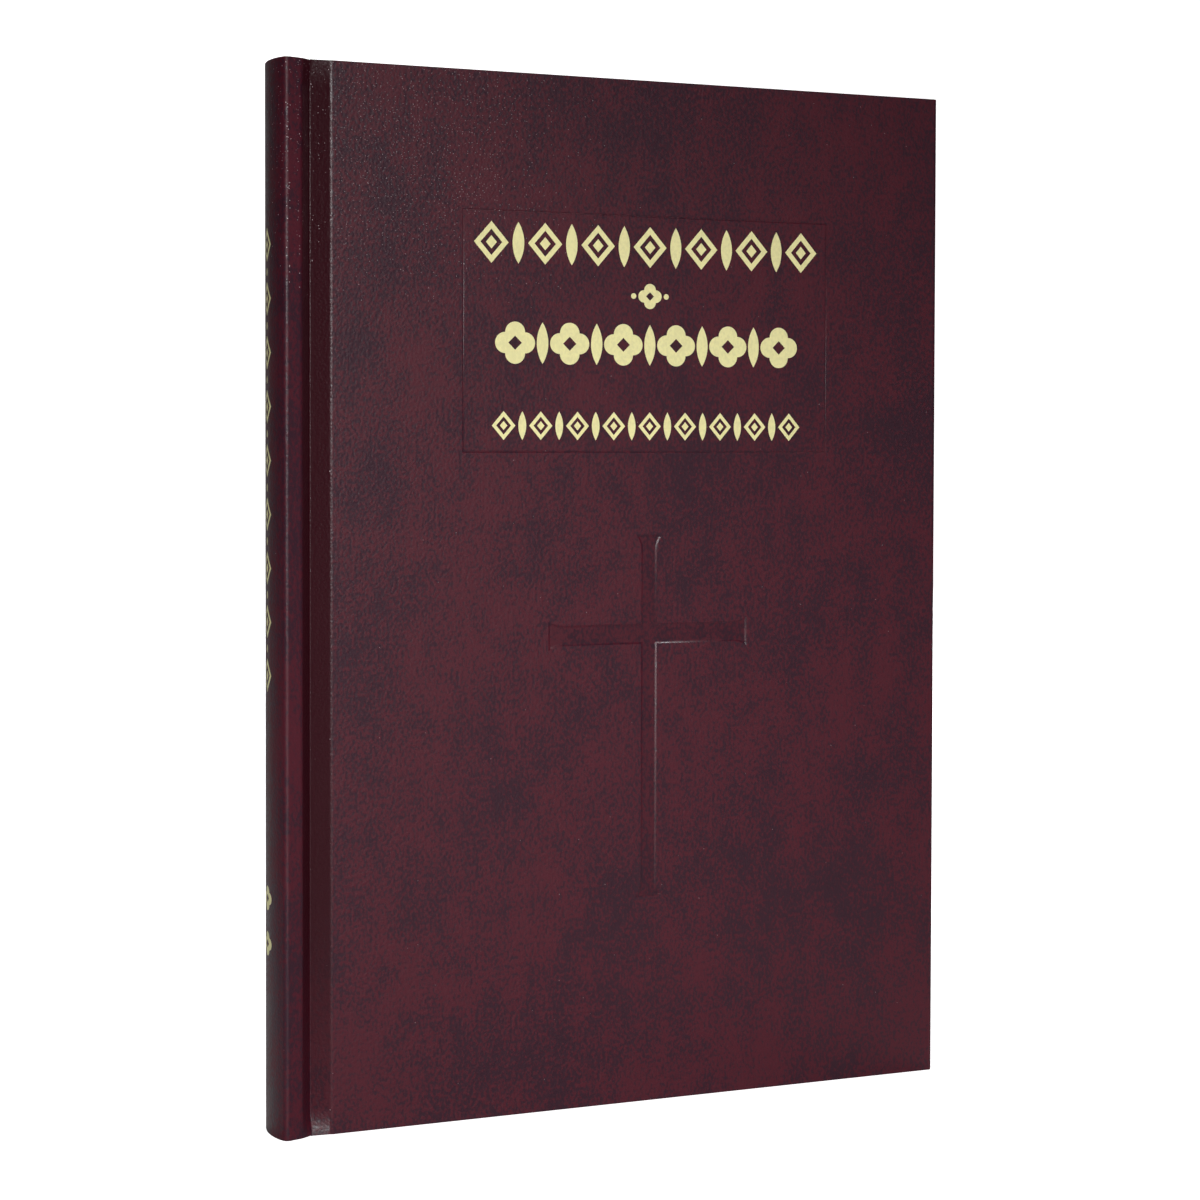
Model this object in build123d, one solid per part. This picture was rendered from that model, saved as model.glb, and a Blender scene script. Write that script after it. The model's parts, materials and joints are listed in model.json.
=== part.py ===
"""A case-bound prayer book with a rounded, ridged spine, standing shut on its tail edge.

Frame, in millimetres: X runs across the cover from the spine (-X) to the fore-edge (+X), the front
cover faces -Y, and Z runs up from the tail edge. The origin is at the bottom centre of the book.
Shapes are drawn for the front half (-Y). The back half is their mirror image.
"""

from build123d import *
from math import asin, atan2, cos, degrees, sin, sqrt
import os

# Driving dimensions of the case
CASE_HEIGHT = 235.0
CASE_WIDTH = 162.7
COVER_FACE_WIDTH = 149.5
LEATHER = 0.4
TURN_IN = 0.25
TURN_IN_WIDTH = 15.0
BOARD = 2.3

# Driving dimensions of the page block
PAGE_HEIGHT = 228.6
SECTION_COUNT = 8
SECTION = 0.7
FLYLEAF = 0.12
PASTEDOWN = 0.15
REST_GAP = 0.05

# Joint groove and spine, as offsets from the start of the cover's flat face and from that face
GROOVE_BACK = 4.7
GROOVE_DEPTH = 2.2
SLOPE_BACK = 0.4
WALL_TOP_BACK = 7.2
WALL_TOP_RISE = 0.93
RIDGE_HALF = 7.9
SPINE_RADIUS = 16.0
RIDGE_ROUND = 0.8
WALL_ROUND = 1.0
CARD = 1.0
CARD_HALF = 7.1
CARD_DEPTH = 2.5
HINGE_CLEAR = 0.35
COVER_HINGE_CLEAR = 0.12

# How far a cutting shape stands out past what it cuts
SLACK = 1.0

# Page block spine
LEAF_AXIS_FROM_HINGE = 1.0
LEAF_START = 2.3
FOLD_END = 0.9
FOLD_FLARE = 1.6
BLOCK_RADIUS = 12.0
BLOCK_CROWN = -78.2
BLOCK_ROUND_DEPTH = 1.2
FOLD_TIP = 0.56
THREAD_RADIUS = 0.2
THREAD_GAP = 0.25
MULL = 0.25
MULL_SHORT = 0.55
MULL_RISE = 22.0
MULL_REACH = 22.0
LINING = 0.3
LINING_HALF = 4.3
STITCH_STATIONS = 6
STITCH_HEIGHT = 0.6
STITCH_WIDTH = 0.3
STITCH_HALF = 4.0
BAND_RADIUS = 0.9
BAND_HALF = 4.4
BAND_TAPE = 12.0

# Decoration of the front cover, by distance below the head edge
FOIL_POCKET = 0.10
FOIL_SUNK = 0.02
PANEL_WIDTH = 90.0
PANEL_TOP = 31.0
PANEL_BOTTOM = 85.0
PANEL_LINE = 0.5
PANEL_DEPTH = 0.15
CROSS_TOP = 104.2
CROSS_BOTTOM = 187.4
CROSS_BAR_CENTRE = 126.8
CROSS_BAR_LENGTH = 49.0
CROSS_STROKE = 3.5
CROSS_BAR_STROKE = 4.3
CROSS_END = 7.0
CROSS_FLARE = 5.0
CROSS_DEPTH = 0.25

# Derived places
FORE_EDGE = CASE_WIDTH / 2
FACE_START = FORE_EDGE - COVER_FACE_WIDTH
FACE_CENTRE = FORE_EDGE - COVER_FACE_WIDTH / 2
BLOCK_HALF = SECTION_COUNT * SECTION / 2
FLYLEAF_OUT = BLOCK_HALF + FLYLEAF
PASTEDOWN_IN = FLYLEAF_OUT + REST_GAP
TURN_IN_IN = PASTEDOWN_IN + PASTEDOWN
BOARD_IN = TURN_IN_IN + TURN_IN
BOARD_OUT = BOARD_IN + BOARD
COVER_OUT = BOARD_OUT + LEATHER
SPINE_CENTRE_X = -FORE_EDGE + SPINE_RADIUS
HINGE_X = FACE_START - GROOVE_BACK
HINGE_Y = COVER_OUT - GROOVE_DEPTH
SLOPE_TOP_X = FACE_START - SLOPE_BACK
SLOPE = atan2(COVER_OUT - HINGE_Y, SLOPE_TOP_X - HINGE_X)
LEAF_AXIS_X = HINGE_X + LEAF_AXIS_FROM_HINGE
PAGE_BOTTOM = (CASE_HEIGHT - PAGE_HEIGHT) / 2
PAGE_TOP = PAGE_BOTTOM + PAGE_HEIGHT
SQUARE = PAGE_BOTTOM
PAGE_EDGE = FORE_EDGE - SQUARE
LEAF_LEFT = LEAF_AXIS_X + LEAF_START
FOLD_RIGHT = HINGE_X + LEAF_AXIS_FROM_HINGE - FOLD_END
BLOCK_CENTRE_X = BLOCK_CROWN + BLOCK_RADIUS
BOARD_EDGE_X = FACE_START - 1.05
JOINT_INNER_X = HINGE_X + 0.45


def save(solid, node):
    """Write one sub-part."""
    export_step(solid, f"parts/{node}.step")


def outline(points):
    """A flat face from its corner points."""
    return make_face(Polyline(*points, close=True))


def prism(points, low, high):
    """A solid with a given outline in plan, between two heights."""
    return Pos(0, 0, low) * extrude(outline(points), amount=high - low)


def block(x0, x1, y0, y1, z0, z1):
    """A box from its limits."""
    centre = Pos((x0 + x1) / 2, (y0 + y1) / 2, (z0 + z1) / 2)
    return centre * Box(x1 - x0, y1 - y0, z1 - z0)


def column(x, y, radius, low, high):
    """An upright cylinder between two heights."""
    return Pos(x, y, (low + high) / 2) * Cylinder(radius, high - low)


def to_back(solid):
    """The back half's copy of a front-half solid."""
    return mirror(solid, about=Plane.XZ)


# Spine outline in plan


def spine_region():
    """Everything inside the outer surface of the spine, from groove to groove, in plan."""
    wall_x = FACE_START - WALL_TOP_BACK
    wall_y = COVER_OUT + WALL_TOP_RISE
    ridge_x = SPINE_CENTRE_X - sqrt(SPINE_RADIUS**2 - RIDGE_HALF**2)
    crown = ThreePointArc((ridge_x, -RIDGE_HALF), (-FORE_EDGE, 0), (ridge_x, RIDGE_HALF))
    front = Polyline((HINGE_X, -HINGE_Y), (wall_x, -wall_y), (ridge_x, -RIDGE_HALF))
    back = Polyline((ridge_x, RIDGE_HALF), (wall_x, wall_y), (HINGE_X, HINGE_Y))
    closing = Line((HINGE_X, HINGE_Y), (HINGE_X, -HINGE_Y))
    region = make_face(Curve() + [front, crown, back, closing])
    corners = region.vertices()
    ridges = corners.filter_by(lambda v: abs(abs(v.Y) - RIDGE_HALF) < 0.01)
    region = fillet(ridges, RIDGE_ROUND)
    walls = region.vertices().filter_by(lambda v: abs(v.X - wall_x) < 0.01)
    return fillet(walls, WALL_ROUND)


def disc(centre_x, radius):
    """A round face in plan, centred on the book's middle plane."""
    return Pos(centre_x, 0) * Circle(radius)


def strip(x0, x1, half_width):
    """A rectangle in plan, even about the book's middle plane."""
    return Pos((x0 + x1) / 2, 0) * Rectangle(x1 - x0, 2 * half_width)


# Spine of the case


def motif_on_spine(motif, height, outer, inner):
    """A flat motif laid on the round of the spine, between two radii."""
    upright = Plane((-FORE_EDGE - SLACK, 0, height), x_dir=(0, -1, 0), z_dir=(-1, 0, 0))
    pin = extrude(upright * motif, amount=-SLACK - RIDGE_HALF)
    shell = disc(SPINE_CENTRE_X, outer) - disc(SPINE_CENTRE_X, inner)
    shell = extrude(shell, amount=CASE_HEIGHT)
    return pin & shell


def spine_ornaments(outer, inner):
    """All the gold motifs on the spine, as solids between two radii."""
    solids = []
    for below_head, motif in spine_layout():
        solids += motif_on_spine(motif, CASE_HEIGHT - below_head, outer, inner).solids()
    return solids


def spine_leather():
    """Leather from groove to groove, turned over the card at head and tail."""
    region = spine_region()
    inside = offset(region, -LEATHER)
    open_side = strip(HINGE_X - 2 * LEATHER, HINGE_X + LEATHER, HINGE_Y - 0.05)
    skin = extrude(region - inside - open_side, amount=CASE_HEIGHT)
    turned = disc(SPINE_CENTRE_X, SPINE_RADIUS - LEATHER) - disc(SPINE_CENTRE_X, card_inner() - TURN_IN)
    turned &= inside & spine_back()
    for low in (0, CASE_HEIGHT - TURN_IN_WIDTH):
        skin += Pos(0, 0, low) * extrude(turned, amount=TURN_IN_WIDTH)
    skin -= spine_card()
    for side in (-1, 1):
        skin -= column(HINGE_X, side * HINGE_Y, HINGE_CLEAR, 0, CASE_HEIGHT)
    for pocket in spine_ornaments(SPINE_RADIUS + SLACK, SPINE_RADIUS - FOIL_POCKET):
        skin -= pocket
    return skin


def card_inner():
    """Inner radius of the spine card."""
    return SPINE_RADIUS - LEATHER - CARD


def spine_back():
    """Plan area of the rounded back of the case, between the ridges."""
    return strip(-FORE_EDGE, SPINE_CENTRE_X - card_inner() + CARD_DEPTH, CARD_HALF)


def spine_card():
    """Curved card that stiffens the spine."""
    inside = offset(spine_region(), -LEATHER)
    ring = disc(SPINE_CENTRE_X, SPINE_RADIUS) - disc(SPINE_CENTRE_X, card_inner())
    band = inside & ring & spine_back()
    return Pos(0, 0, LEATHER) * extrude(band, amount=CASE_HEIGHT - 2 * LEATHER)


# Spine of the page block


def fold_x(y):
    """How far left the sides of the folds reach, at a distance from the middle plane."""
    return BLOCK_CENTRE_X - sqrt(BLOCK_RADIUS**2 - y**2) + FOLD_TIP


def fold_side(index):
    """The flared side shared by two neighbouring folds: its right end and its left end."""
    y = -BLOCK_HALF + index * SECTION
    return (FOLD_RIGHT, y), (fold_x(FOLD_FLARE * y), FOLD_FLARE * y)


def fold_tip(index):
    """The middle of a fold's rounded back."""
    y = FOLD_FLARE * (-BLOCK_HALF + (index + 0.5) * SECTION)
    return fold_x(y) - FOLD_TIP, y


def block_spine():
    """Plan of the flared, rounded spine of the sewn block."""
    low = fold_side(0)
    high = fold_side(SECTION_COUNT)
    low_back = (low[1][0] - FOLD_TIP, low[1][1])
    high_back = (high[1][0] - FOLD_TIP, high[1][1])
    sides = Polyline(high_back, high[1], high[0], low[0], low[1], low_back)
    crown = ThreePointArc(low_back, (BLOCK_CROWN, 0), high_back)
    return make_face(Curve() + [sides, crown])


def around_block(outer, inner):
    """A band wrapped round the block's spine between two distances from it, in plan."""
    hole = offset(block_spine(), inner) if inner else block_spine()
    return offset(block_spine(), outer) - hole


def behind_block(outer, inner, half_width):
    """The part of such a band that lies on the rounded back of the folds."""
    return around_block(outer, inner) & strip(-FORE_EDGE, BLOCK_CROWN + BLOCK_ROUND_DEPTH, half_width)


def stitch_heights():
    """Heights of the sewing stations."""
    step = PAGE_HEIGHT / (STITCH_STATIONS + 1)
    return [PAGE_BOTTOM + step * (n + 1) for n in range(STITCH_STATIONS)]


def sewing_thread():
    """Thread along the inside of every fold, brought out and across the spine at each station."""
    heights = stitch_heights()
    solids = []
    across = behind_block(THREAD_GAP, 0, STITCH_HALF)
    for height in heights:
        low = height - STITCH_HEIGHT / 2
        solids.append(Pos(0, 0, low) * extrude(across, amount=STITCH_HEIGHT))
    for index in range(SECTION_COUNT):
        tip_x, tip_y = fold_tip(index)
        run_x = tip_x + FOLD_TIP
        solids.append(column(run_x, tip_y, THREAD_RADIUS, heights[0], heights[-1]))
        for height in heights:
            low = height - STITCH_HEIGHT / 2
            high = low + STITCH_HEIGHT
            back = tip_x - THREAD_GAP / 2
            side = STITCH_WIDTH / 2
            solids.append(block(back, run_x, tip_y - side, tip_y + side, low, high))
    thread = solids[0]
    for solid in solids[1:]:
        thread += solid
    return thread


def section_fold(index, thread):
    """The folded back edge of one section, fanned out by the backing."""
    low = fold_side(index)
    high = fold_side(index + 1)
    sides = Polyline(high[1], high[0], low[0], low[1])
    tip = ThreePointArc(low[1], fold_tip(index), high[1])
    plan = make_face(Curve() + [sides, tip])
    return Pos(0, 0, PAGE_BOTTOM) * extrude(plan, amount=PAGE_HEIGHT) - thread


def mull():
    """Open gauze glued over the folds and down both shoulders."""
    wrap = around_block(THREAD_GAP + MULL, THREAD_GAP)
    wrap -= strip(FOLD_RIGHT - MULL_SHORT, 0, 2 * SPINE_RADIUS)
    low = MULL_RISE
    return Pos(0, 0, low) * extrude(wrap, amount=CASE_HEIGHT - 2 * low)


def spine_lining():
    """Paper strip over the gauze, behind the folds."""
    inner = THREAD_GAP + MULL
    wrap = behind_block(inner + LINING, inner, LINING_HALF)
    low = MULL_RISE
    return Pos(0, 0, low) * extrude(wrap, amount=CASE_HEIGHT - 2 * low)


def headband():
    """Corded bead at the head of the folds, on a tape glued behind them."""
    half_angle = degrees(asin(BAND_HALF / BLOCK_RADIUS))
    bead_x = BLOCK_RADIUS + THREAD_GAP - BAND_RADIUS
    section = Plane.XZ * Pos(bead_x, 0) * Circle(BAND_RADIUS)
    bead = revolve(section, Axis.Z, revolution_arc=2 * half_angle)
    place = Pos(BLOCK_CENTRE_X, 0, PAGE_TOP + BAND_RADIUS) * Rot(0, 0, 180 - half_angle)
    tape = behind_block(THREAD_GAP, 0, STITCH_HALF)
    low = PAGE_TOP - BAND_TAPE
    tape = Pos(0, 0, low) * extrude(tape, amount=BAND_TAPE + BAND_RADIUS)
    return place * bead + tape


def tailband():
    """The headband's twin at the tail."""
    return Pos(0, 0, CASE_HEIGHT / 2) * mirror(Pos(0, 0, -CASE_HEIGHT / 2) * headband(), about=Plane.XY)


# Leaves


def leaves(inner, outer):
    """A stack of flat leaves between two distances in front of the middle plane."""
    return block(LEAF_LEFT, PAGE_EDGE, -outer, -inner, PAGE_BOTTOM, PAGE_TOP)


def section_leaves(index):
    """The free leaves of one section."""
    y = -BLOCK_HALF + index * SECTION
    return leaves(-y - SECTION, -y)


# Cover


def on_slope(distance, depth):
    """A point along the slope that rises from the groove to the cover's face."""
    x = HINGE_X + distance * cos(SLOPE) + depth * sin(SLOPE)
    y = HINGE_Y + distance * sin(SLOPE) - depth * cos(SLOPE)
    return x, -y


def board_plan():
    """Outline of the board, its spine edge eased where the leather goes into the groove."""
    reach = (BOARD_EDGE_X - on_slope(0, LEATHER)[0]) / cos(SLOPE)
    eased_y = on_slope(reach, LEATHER)[1] + 0.01
    eased_x = FACE_START - 0.27
    right = FORE_EDGE - LEATHER
    return [
        (BOARD_EDGE_X, -BOARD_IN),
        (BOARD_EDGE_X, eased_y),
        (eased_x, -BOARD_OUT),
        (right, -BOARD_OUT),
        (right, -BOARD_IN),
    ]


def front_board():
    """Stiff board of a cover."""
    return prism(board_plan(), LEATHER, CASE_HEIGHT - LEATHER)


def joint_void():
    """Hollow between the leather of the groove and the board's edge."""
    reach = (BOARD_EDGE_X - on_slope(0, LEATHER)[0]) / cos(SLOPE)
    left_x = JOINT_INNER_X + 0.1
    near = (left_x - on_slope(0, LEATHER)[0]) / cos(SLOPE)
    corners = [
        (left_x, -BOARD_IN),
        on_slope(near, LEATHER),
        on_slope(reach, LEATHER),
        (BOARD_EDGE_X, -BOARD_IN),
    ]
    return prism(corners, LEATHER, CASE_HEIGHT - LEATHER)


def inner_window(left=JOINT_INNER_X):
    """The area of a cover's inside that the turned-in leather leaves free."""
    right = FORE_EDGE - TURN_IN_WIDTH
    return block(left, right, -BOARD_IN, -TURN_IN_IN, TURN_IN_WIDTH, CASE_HEIGHT - TURN_IN_WIDTH)


def plain_cover_leather():
    """Leather of one cover, from the groove round the edges of the board to its turn-ins."""
    plan = [
        on_slope(COVER_HINGE_CLEAR, 0),
        (SLOPE_TOP_X, -COVER_OUT),
        (FORE_EDGE, -COVER_OUT),
        (FORE_EDGE, -TURN_IN_IN),
        (JOINT_INNER_X, -TURN_IN_IN),
        (JOINT_INNER_X, -BOARD_IN),
        on_slope(COVER_HINGE_CLEAR, LEATHER),
    ]
    leather = prism(plan, 0, CASE_HEIGHT)
    return leather - front_board() - joint_void() - inner_window(JOINT_INNER_X - SLACK)


def mull_flange():
    """The gauze's flange, glued to the board under the pastedown."""
    right = JOINT_INNER_X + MULL_REACH
    return block(JOINT_INNER_X, right, -BOARD_IN, -TURN_IN_IN, MULL_RISE, CASE_HEIGHT - MULL_RISE)


def pastedown():
    """Endpaper glued to the inside of a cover, down into the window between the turn-ins."""
    sheet = block(JOINT_INNER_X, PAGE_EDGE, -TURN_IN_IN, -PASTEDOWN_IN, PAGE_BOTTOM, PAGE_TOP)
    return sheet + inner_window() - mull_flange()


# Flat motifs, each centred on its own origin


def lozenge(width, height):
    """Diamond."""
    return outline([(-width / 2, 0), (0, -height / 2), (width / 2, 0), (0, height / 2)])


def framed_lozenge(width, height):
    """Diamond ring round a small diamond."""
    ring = lozenge(width, height) - lozenge(0.62 * width, 0.62 * height)
    return ring + lozenge(0.32 * width, 0.32 * height)


def leaf(width, height):
    """Pointed oval."""
    radius = (width**2 + height**2) / (4 * width)
    lens = Pos(radius - width / 2, 0) * Circle(radius)
    return lens & Pos(width / 2 - radius, 0) * Circle(radius)


def quatrefoil(size):
    """Four lobes round an open centre."""
    lobe = size / 4
    flower = Circle(lobe)
    for dx, dy in ((1, 0), (-1, 0), (0, 1), (0, -1)):
        flower += Pos(lobe * dx, lobe * dy) * Circle(lobe)
    return flower - lozenge(size / 3, size / 3)


def flared_bar(length, stroke, end, flare):
    """Bar whose ends widen in a curve."""
    half = length / 2
    side = Line((0, stroke / 2), (half - flare, stroke / 2))
    curve = TangentArc((half - flare, stroke / 2), (half, end / 2), tangent=(1, 0))
    tip = Line((half, end / 2), (half, 0))
    base = Line((half, 0), (0, 0))
    rise = Line((0, 0), (0, stroke / 2))
    quarter = make_face(Curve() + [side, curve, tip, base, rise])
    upper = quarter + mirror(quarter, about=Plane.YZ)
    return upper + mirror(upper, about=Plane.XZ)


def cross():
    """Latin cross with flared ends, about the middle of its crossbar."""
    height = CROSS_BOTTOM - CROSS_TOP
    drop = CROSS_BAR_CENTRE - (CROSS_TOP + CROSS_BOTTOM) / 2
    post = Rot(0, 0, 90) * flared_bar(height, CROSS_STROKE, CROSS_END, CROSS_FLARE)
    bar = flared_bar(CROSS_BAR_LENGTH, CROSS_BAR_STROKE, CROSS_END, CROSS_FLARE)
    return Pos(0, drop) * post + bar


def panel_line():
    """Narrow rectangular line round the gold rows."""
    height = PANEL_BOTTOM - PANEL_TOP
    inner = Rectangle(PANEL_WIDTH - PANEL_LINE, height - PANEL_LINE)
    return Rectangle(PANEL_WIDTH + PANEL_LINE, height + PANEL_LINE) - inner


def row(width, motifs):
    """Motifs spread evenly over a width, from their (width, face) pairs."""
    free = width - sum(size for size, face in motifs)
    gap = free / (len(motifs) - 1)
    left = -width / 2
    placed = []
    for size, face in motifs:
        placed.append(Pos(left + size / 2, 0) * face)
        left += size + gap
    return placed


def alternating(first, second, count):
    """A list that starts and ends with the first of two motifs."""
    return [second if n % 2 else first for n in range(2 * count - 1)]


def front_layout():
    """Gold rows of the front cover: (distance below the head, motifs)."""
    tall = (8.2, framed_lozenge(8.2, 9.4))
    tall_leaf = (2.8, leaf(2.8, 9.4))
    flower = (9.0, quatrefoil(9.5))
    small = (5.6, framed_lozenge(5.6, 6.5))
    small_leaf = (1.9, leaf(1.9, 6.5))
    bud = (1.3, Circle(0.65))
    middle = (5.4, quatrefoil(5.8))
    return [
        (38.1, row(85.0, alternating(tall, tall_leaf, 7))),
        (49.3, row(9.4, [bud, middle, bud])),
        (60.5, row(74.5, alternating(flower, tall_leaf, 6))),
        (79.1, row(76.5, alternating(small, small_leaf, 9))),
    ]


def spine_layout():
    """Gold motifs of the spine: (distance below the head, motif)."""
    layout = []
    for n in range(9):
        layout.append((40.0 + 11.75 * n, framed_lozenge(5.4, 7.6)))
    for n in range(8):
        layout.append((45.9 + 11.75 * n, leaf(4.6, 2.0)))
    layout.append((183.0, quatrefoil(5.4)))
    layout.append((193.0, quatrefoil(5.4)))
    return layout


def on_front(face, below_head):
    """Place a flat motif on the front cover's face."""
    return Plane((FACE_CENTRE, -COVER_OUT, CASE_HEIGHT - below_head), x_dir=(1, 0, 0), z_dir=(0, -1, 0)) * face


def gold_faces():
    """Every gold motif of the front cover, in place."""
    return [on_front(face, below) for below, faces in front_layout() for face in faces]


def front_leather():
    """Front cover leather with the sunk cross, the panel line and the beds of the foil."""
    leather = plain_cover_leather()
    leather -= extrude(on_front(cross(), CROSS_BAR_CENTRE), amount=-CROSS_DEPTH)
    leather -= extrude(on_front(panel_line(), (PANEL_TOP + PANEL_BOTTOM) / 2), amount=-PANEL_DEPTH)
    for face in gold_faces():
        leather -= extrude(face, amount=-FOIL_POCKET)
    return leather


def front_foil():
    """Gold foil of the front cover, bedded a little below the surface of the leather."""
    thickness = FOIL_POCKET - FOIL_SUNK
    lift = Pos(0, FOIL_POCKET, 0)
    return [solid for face in gold_faces() for solid in (lift * extrude(face, amount=thickness)).solids()]


def main():
    """Write every sub-part."""
    os.makedirs("parts", exist_ok=True)
    thread = sewing_thread()
    save(spine_leather(), "spine_leather")
    save(spine_card(), "spine_card")
    foil_outer = SPINE_RADIUS - FOIL_SUNK
    save(Compound(spine_ornaments(foil_outer, SPINE_RADIUS - FOIL_POCKET)), "spine_foil")
    save(mull(), "mull")
    save(spine_lining(), "spine_lining")
    save(headband(), "headband")
    save(tailband(), "tailband")
    save(thread, "sewing_thread")
    for index in range(SECTION_COUNT):
        save(section_fold(index, thread), f"section_{index + 1}_fold")
        save(section_leaves(index), f"section_{index + 1}")
    save(front_leather(), "front_leather")
    save(to_back(plain_cover_leather()), "back_leather")
    save(Compound(front_foil()), "front_foil")
    cover_pieces = {"board": front_board(), "mull_flange": mull_flange(), "pastedown": pastedown()}
    cover_pieces["flyleaf"] = leaves(BLOCK_HALF, FLYLEAF_OUT)
    for name, solid in cover_pieces.items():
        save(solid, f"front_{name}")
        save(to_back(solid), f"back_{name}")


main()
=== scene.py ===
"""Looks of a case-bound prayer book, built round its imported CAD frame. All sizes are in metres."""

import json
import math
import random

import bpy
from bpy.props import FloatProperty, FloatVectorProperty, IntProperty, PointerProperty
from mathutils import Matrix, Vector

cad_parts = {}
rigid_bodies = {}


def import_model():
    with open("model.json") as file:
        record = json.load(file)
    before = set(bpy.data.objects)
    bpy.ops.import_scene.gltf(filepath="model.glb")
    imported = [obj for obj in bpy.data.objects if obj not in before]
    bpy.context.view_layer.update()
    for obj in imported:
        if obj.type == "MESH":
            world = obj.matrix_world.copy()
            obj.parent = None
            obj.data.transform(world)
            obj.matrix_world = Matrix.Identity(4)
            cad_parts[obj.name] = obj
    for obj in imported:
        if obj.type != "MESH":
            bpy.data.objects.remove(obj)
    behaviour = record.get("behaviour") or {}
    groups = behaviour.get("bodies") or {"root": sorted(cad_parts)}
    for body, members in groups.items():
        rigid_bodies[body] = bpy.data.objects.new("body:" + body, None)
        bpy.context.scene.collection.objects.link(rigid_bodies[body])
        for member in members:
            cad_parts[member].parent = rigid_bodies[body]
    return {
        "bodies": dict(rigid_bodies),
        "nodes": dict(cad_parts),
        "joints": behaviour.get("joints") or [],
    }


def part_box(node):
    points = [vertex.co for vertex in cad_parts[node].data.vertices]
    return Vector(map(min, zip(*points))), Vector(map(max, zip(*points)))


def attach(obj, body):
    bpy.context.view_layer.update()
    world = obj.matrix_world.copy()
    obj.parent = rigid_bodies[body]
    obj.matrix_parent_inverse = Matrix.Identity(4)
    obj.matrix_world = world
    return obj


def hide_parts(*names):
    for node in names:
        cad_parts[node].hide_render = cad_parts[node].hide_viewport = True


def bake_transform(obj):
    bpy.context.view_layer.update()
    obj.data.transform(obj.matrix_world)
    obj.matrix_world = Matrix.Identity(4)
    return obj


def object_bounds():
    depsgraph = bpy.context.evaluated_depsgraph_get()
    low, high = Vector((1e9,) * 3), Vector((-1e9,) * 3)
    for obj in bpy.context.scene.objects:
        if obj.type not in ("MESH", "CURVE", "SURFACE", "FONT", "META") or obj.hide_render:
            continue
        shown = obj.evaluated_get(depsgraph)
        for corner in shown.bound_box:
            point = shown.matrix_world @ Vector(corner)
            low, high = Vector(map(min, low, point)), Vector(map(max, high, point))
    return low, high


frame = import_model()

CAD_BOX = [list(corner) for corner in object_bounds()]

bl_info = {
    "name": "Prayer Book",
    "version": (1, 0, 0),
    "blender": (4, 5, 0),
    "location": "View3D > Sidebar > Prayer Book",
    "description": "Models the leather, gilding, leaves and bands of a case-bound prayer book",
    "category": "Add Mesh",
}

MM = 0.001
CLOSE = 0.01 * MM
FRONT = -1
BACK = 1
SIDE_NAMES = {FRONT: "front", BACK: "back"}

JOINTS = {joint["name"]: joint for joint in frame["joints"]}
HINGE = Vector(JOINTS["front_cover_open"]["pos_m"])
LOW = Vector(CAD_BOX[0])
HIGH = Vector(CAD_BOX[1])
HEAD = HIGH.z
TAIL = LOW.z
FORE_EDGE = HIGH.x
CROWN = LOW.x
LEATHER_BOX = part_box("front_leather")
CARD_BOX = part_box("spine_card")
FOLD_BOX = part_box("section_1_fold")
PAGE_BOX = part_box("section_1")
FLYLEAF_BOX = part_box("front_flyleaf")
COVER_OUT = -LEATHER_BOX[0].y
COVER_IN = -LEATHER_BOX[1].y
HINGE_OUT = -HINGE.y
SECTION_COUNT = sum(1 for name in frame["bodies"] if name.startswith("section_"))
SECTION = PAGE_BOX[1].y - PAGE_BOX[0].y
BLOCK_HALF = SECTION * SECTION_COUNT / 2
PAGE_EDGE = PAGE_BOX[1].x
PAGE_TAIL = PAGE_BOX[0].z
PAGE_HEAD = PAGE_BOX[1].z
FOLD_RIGHT = FOLD_BOX[1].x
LEAF_LEFT = PAGE_BOX[0].x
FOLD_FLARE = FOLD_BOX[0].y / -BLOCK_HALF
SPINE_RADIUS = 16.0 * MM
SPINE_CENTRE = CROWN + SPINE_RADIUS
BLOCK_RADIUS = 12.0 * MM
BLOCK_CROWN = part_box("section_4_fold")[0].x
BLOCK_CENTRE = BLOCK_CROWN + BLOCK_RADIUS
FOOT_RISE = 0.55 * MM
GROOVE_ROUND = 0.45 * MM
BOARD_EDGE_INSET = 0.4 * MM
PRESS_LIFT = 0.3 * MM
PRESS_DEPTH = 0.29 * MM
# How much of the groove's fill is left at each depth from head and tail
GROOVE_FILL_ROWS = ((0.0, 1.0), (1.2 * MM, 0.8), (2.6 * MM, 0.45), (4.2 * MM, 0.15), (6.0 * MM, 0.0))
# Steps of a press's sloped side in millimetres, as (inwards, deeper)
CROSS_SLOPE = ((0.12, 0.04), (0.22, 0.1), (0.14, 0.04), (0.1, 0.01))
PANEL_SLOPE = ((0.1, 0.06), (0.1, 0.09))
# Finishes of the leather. The glint colour is painted highlights on the grain, and the joint shade darkens the joint
# groove and its slope as painted shade.
PAINTED_GLINT_COLOUR = (0.62, 0.5, 0.52, 1)
JOINT_PAINTED_SHADE = 0.45
JOINT_ROUGHNESS = 0.3
LEATHER_SPECULAR = 0.32


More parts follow.
